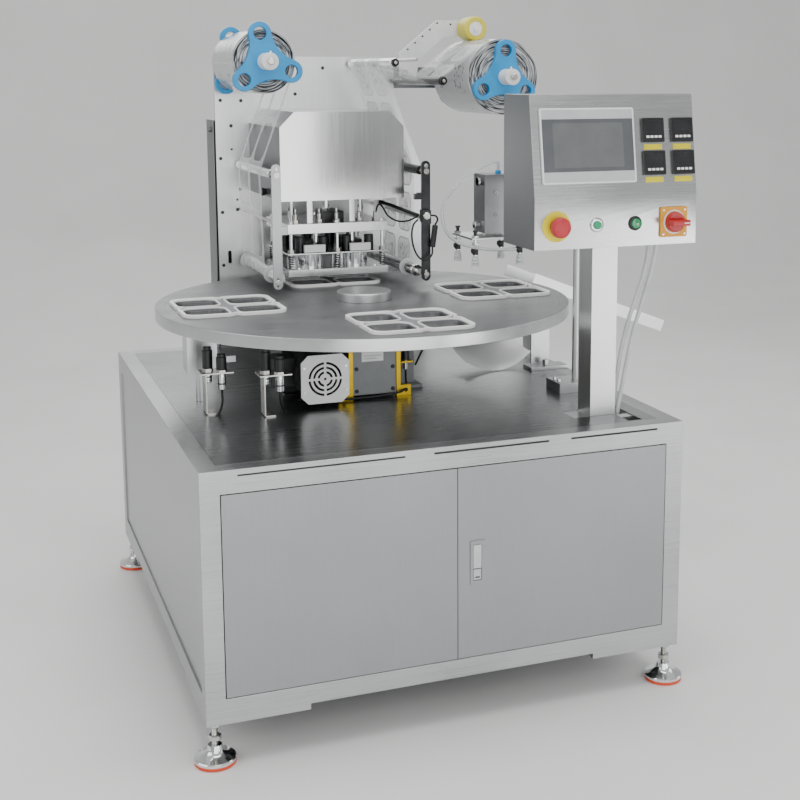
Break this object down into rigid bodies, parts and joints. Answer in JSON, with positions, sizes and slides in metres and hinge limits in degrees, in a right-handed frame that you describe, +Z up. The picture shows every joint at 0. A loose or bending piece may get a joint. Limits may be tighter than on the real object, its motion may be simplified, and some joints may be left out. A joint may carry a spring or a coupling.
{
  "type": "rotary cup sealing machine",
  "caption": "Rotary cup sealing machine: steel cabinet, indexing turntable with cup pockets, heated film press, film reels, suction pick-up, discharge chute and operator box on a post.",
  "frame": {"origin": "on the floor under the middle of the whole machine, box and chute included", "axes": "+Z up, +Y from the doors to the press column, +X to the right seen from the doors"},
  "size_m": [1.378, 1.255, 1.4325],
  "materials": {
    "brushed_stainless": "brushed, satin",
    "bright_stainless": "polished, fine brushed",
    "chromed_steel": "polished",
    "dark_steel": "satin",
    "machined_aluminium": "machined, satin",
    "turned_aluminium": "turned, satin",
    "grey_paint": "satin",
    "black_paint": "satin",
    "yellow_zinc": "satin",
    "orange_rubber": "matt",
    "white_silicone": "matt",
    "yellow_polyurethane": "satin",
    "white_plastic": "satin",
    "blue_plastic": "satin",
    "black_plastic": "satin",
    "red_plastic": "gloss",
    "green_plastic": "gloss",
    "clear_film": "gloss, translucent",
    "wound_film": "layered, satin",
    "grey_cable": "satin",
    "black_cable": "satin"
  },
  "bodies": {
    "machine": {"cabinet_frame": "brushed_stainless", "top_sheet": "brushed_stainless", "side_panels": "brushed_stainless", "foot_pads": "orange_rubber", "levelling_feet": "chromed_steel", "door_hinges": "dark_steel", "electrical_panel": "grey_paint", "indexer_gearbox": "grey_paint", "indexer_brackets": "yellow_zinc", "gear_motor": "black_paint", "fan_cowl": "white_plastic", "table_supports": "machined_aluminium", "position_sensors": "chromed_steel", "sensor_cables": "black_cable", "back_plate": "bright_stainless", "rear_column": "dark_steel", "press_cover": "bright_stainless", "press_cylinder": "machined_aluminium", "film_side_bars": "machined_aluminium", "film_shafts": "dark_steel", "unwind_arm": "dark_steel", "film_web": "clear_film", "control_post": "bright_stainless", "control_box": "brushed_stainless", "panel_fittings": "black_plastic", "control_cables": "grey_cable", "pickup_column": "machined_aluminium", "air_tube": "clear_film", "discharge_chute": "bright_stainless"},
    "left_door": {"left_door": "brushed_stainless"},
    "right_door": {"right_door": "brushed_stainless"},
    "latch_button": {"latch_button": "dark_steel"},
    "motor_fan": {"motor_fan": "black_plastic"},
    "turntable": {"turntable_spindle": "dark_steel", "turntable": "turned_aluminium", "hub_cap": "machined_aluminium", "station_gaskets": "white_silicone"},
    "press_head": {"press_rods": "chromed_steel", "head_plates": "bright_stainless", "sealing_dies": "chromed_steel", "head_springs": "chromed_steel"},
    "pressure_plate": {"pressure_plate": "bright_stainless"},
    "upper_left_roller": {"upper_left_roller": "chromed_steel"},
    "lower_left_roller": {"lower_left_roller": "chromed_steel"},
    "lower_right_roller": {"lower_right_roller": "chromed_steel"},
    "upper_right_roller": {"upper_right_roller": "dark_steel"},
    "top_roller": {"top_roller": "chromed_steel"},
    "return_roller": {"return_roller": "dark_steel"},
    "unwind_reel": {"unwind_shaft": "white_plastic", "unwind_clamps": "blue_plastic", "supply_film_roll": "wound_film"},
    "rewind_reel": {"rewind_shaft": "white_plastic", "rewind_clamps": "blue_plastic", "waste_film_roll": "wound_film"},
    "roller_arm": {"roller_arm": "machined_aluminium"},
    "measuring_roller": {"measuring_roller": "yellow_polyurethane"},
    "estop_head": {"estop_head": "red_plastic"},
    "start_button": {"start_button": "green_plastic"},
    "isolator_knob": {"isolator_knob": "red_plastic"},
    "pickup_plate": {"pickup_plate": "machined_aluminium"}
  },
  "joints": [
    {"name": "turntable_spin", "type": "hinge", "parent": "machine", "child": "turntable", "pos_m": [-0.16795, 0.0415, 0.764], "axis": [0, 0, 1], "continuous": true},
    {"name": "motor_fan_spin", "type": "hinge", "parent": "machine", "child": "motor_fan", "pos_m": [-0.32795, -0.1665, 0.637], "axis": [0, 1, 0], "continuous": true},
    {"name": "left_door_hinge", "type": "hinge", "parent": "machine", "child": "left_door", "pos_m": [-0.62045, -0.5565, 0.33], "axis": [0, 0, 1], "range_deg": [-110, 0]},
    {"name": "right_door_hinge", "type": "hinge", "parent": "machine", "child": "right_door", "pos_m": [0.28454, -0.5565, 0.33], "axis": [0, 0, 1], "range_deg": [0, 110]},
    {"name": "latch_press", "type": "slide", "parent": "right_door", "child": "latch_button", "axis": [0, 1, 0], "range_m": [0, 0.003], "stiffness_N_per_m": 400, "springref_m": -0.002},
    {"name": "press_stroke", "type": "slide", "parent": "machine", "child": "press_head", "axis": [0, 0, -1], "range_m": [0, 0.018], "deforming": ["film_web"]},
    {"name": "pressure_plate_give", "type": "slide", "parent": "press_head", "child": "pressure_plate", "axis": [0, 0, 1], "range_m": [0, 0.01], "stiffness_N_per_m": 18000, "springref_m": -0.004, "deforming": ["head_springs"]},
    {"name": "unwind_spin", "type": "hinge", "parent": "machine", "child": "unwind_reel", "pos_m": [0.26404, 0.3615, 1.274], "axis": [0, 1, 0], "continuous": true},
    {"name": "rewind_spin", "type": "hinge", "parent": "machine", "child": "rewind_reel", "pos_m": [-0.34596, 0.3615, 1.31], "axis": [0, 1, 0], "continuous": true},
    {"name": "upper_left_roller_spin", "type": "hinge", "parent": "machine", "child": "upper_left_roller", "pos_m": [-0.35096, 0.3615, 1.051], "axis": [0, 1, 0], "continuous": true},
    {"name": "lower_left_roller_spin", "type": "hinge", "parent": "machine", "child": "lower_left_roller", "pos_m": [-0.33996, 0.3615, 0.806], "axis": [0, 1, 0], "continuous": true},
    {"name": "lower_right_roller_spin", "type": "hinge", "parent": "machine", "child": "lower_right_roller", "pos_m": [0.00404, 0.3615, 0.806], "axis": [0, 1, 0], "continuous": true},
    {"name": "upper_right_roller_spin", "type": "hinge", "parent": "machine", "child": "upper_right_roller", "pos_m": [0.01504, 0.3615, 1.051], "axis": [0, 1, 0], "continuous": true},
    {"name": "top_roller_spin", "type": "hinge", "parent": "machine", "child": "top_roller", "pos_m": [-0.04795, 0.3615, 1.308], "axis": [0, 1, 0], "continuous": true},
    {"name": "return_roller_spin", "type": "hinge", "parent": "machine", "child": "return_roller", "pos_m": [0.07404, 0.3615, 1.265], "axis": [0, 1, 0], "continuous": true},
    {"name": "roller_arm_pivot", "type": "hinge", "parent": "machine", "child": "roller_arm", "pos_m": [0.10004, 0.5275, 1.285], "axis": [0, 1, 0], "range_deg": [-25, 0]},
    {"name": "measuring_roller_spin", "type": "hinge", "parent": "roller_arm", "child": "measuring_roller", "pos_m": [0.27804, 0.3615, 1.40053], "axis": [0, 1, 0], "continuous": true},
    {"name": "estop_push", "type": "slide", "parent": "machine", "child": "estop_head", "axis": [0, 1, 0], "range_m": [0, 0.005]},
    {"name": "start_push", "type": "slide", "parent": "machine", "child": "start_button", "axis": [0, 1, 0], "range_m": [0, 0.004], "stiffness_N_per_m": 300, "springref_m": -0.003},
    {"name": "isolator_turn", "type": "hinge", "parent": "machine", "child": "isolator_knob", "pos_m": [0.27804, -0.5915, 0.992], "axis": [0, 1, 0], "range_deg": [0, 90]},
    {"name": "pickup_stroke", "type": "slide", "parent": "machine", "child": "pickup_plate", "axis": [0, 0, -1], "range_m": [0, 0.058], "deforming": ["air_tube"]}
  ],
  "couplings": [
    {"joint": "rewind_spin", "follows": "unwind_spin", "ratio": 1.2667},
    {"joint": "upper_left_roller_spin", "follows": "unwind_spin", "ratio": -8.6364},
    {"joint": "lower_left_roller_spin", "follows": "unwind_spin", "ratio": -6.3333},
    {"joint": "lower_right_roller_spin", "follows": "unwind_spin", "ratio": -6.3333},
    {"joint": "upper_right_roller_spin", "follows": "unwind_spin", "ratio": -8.6364},
    {"joint": "top_roller_spin", "follows": "unwind_spin", "ratio": 8.6364},
    {"joint": "return_roller_spin", "follows": "unwind_spin", "ratio": -8.6364},
    {"joint": "measuring_roller_spin", "follows": "unwind_spin", "ratio": -2.9688}
  ]
}
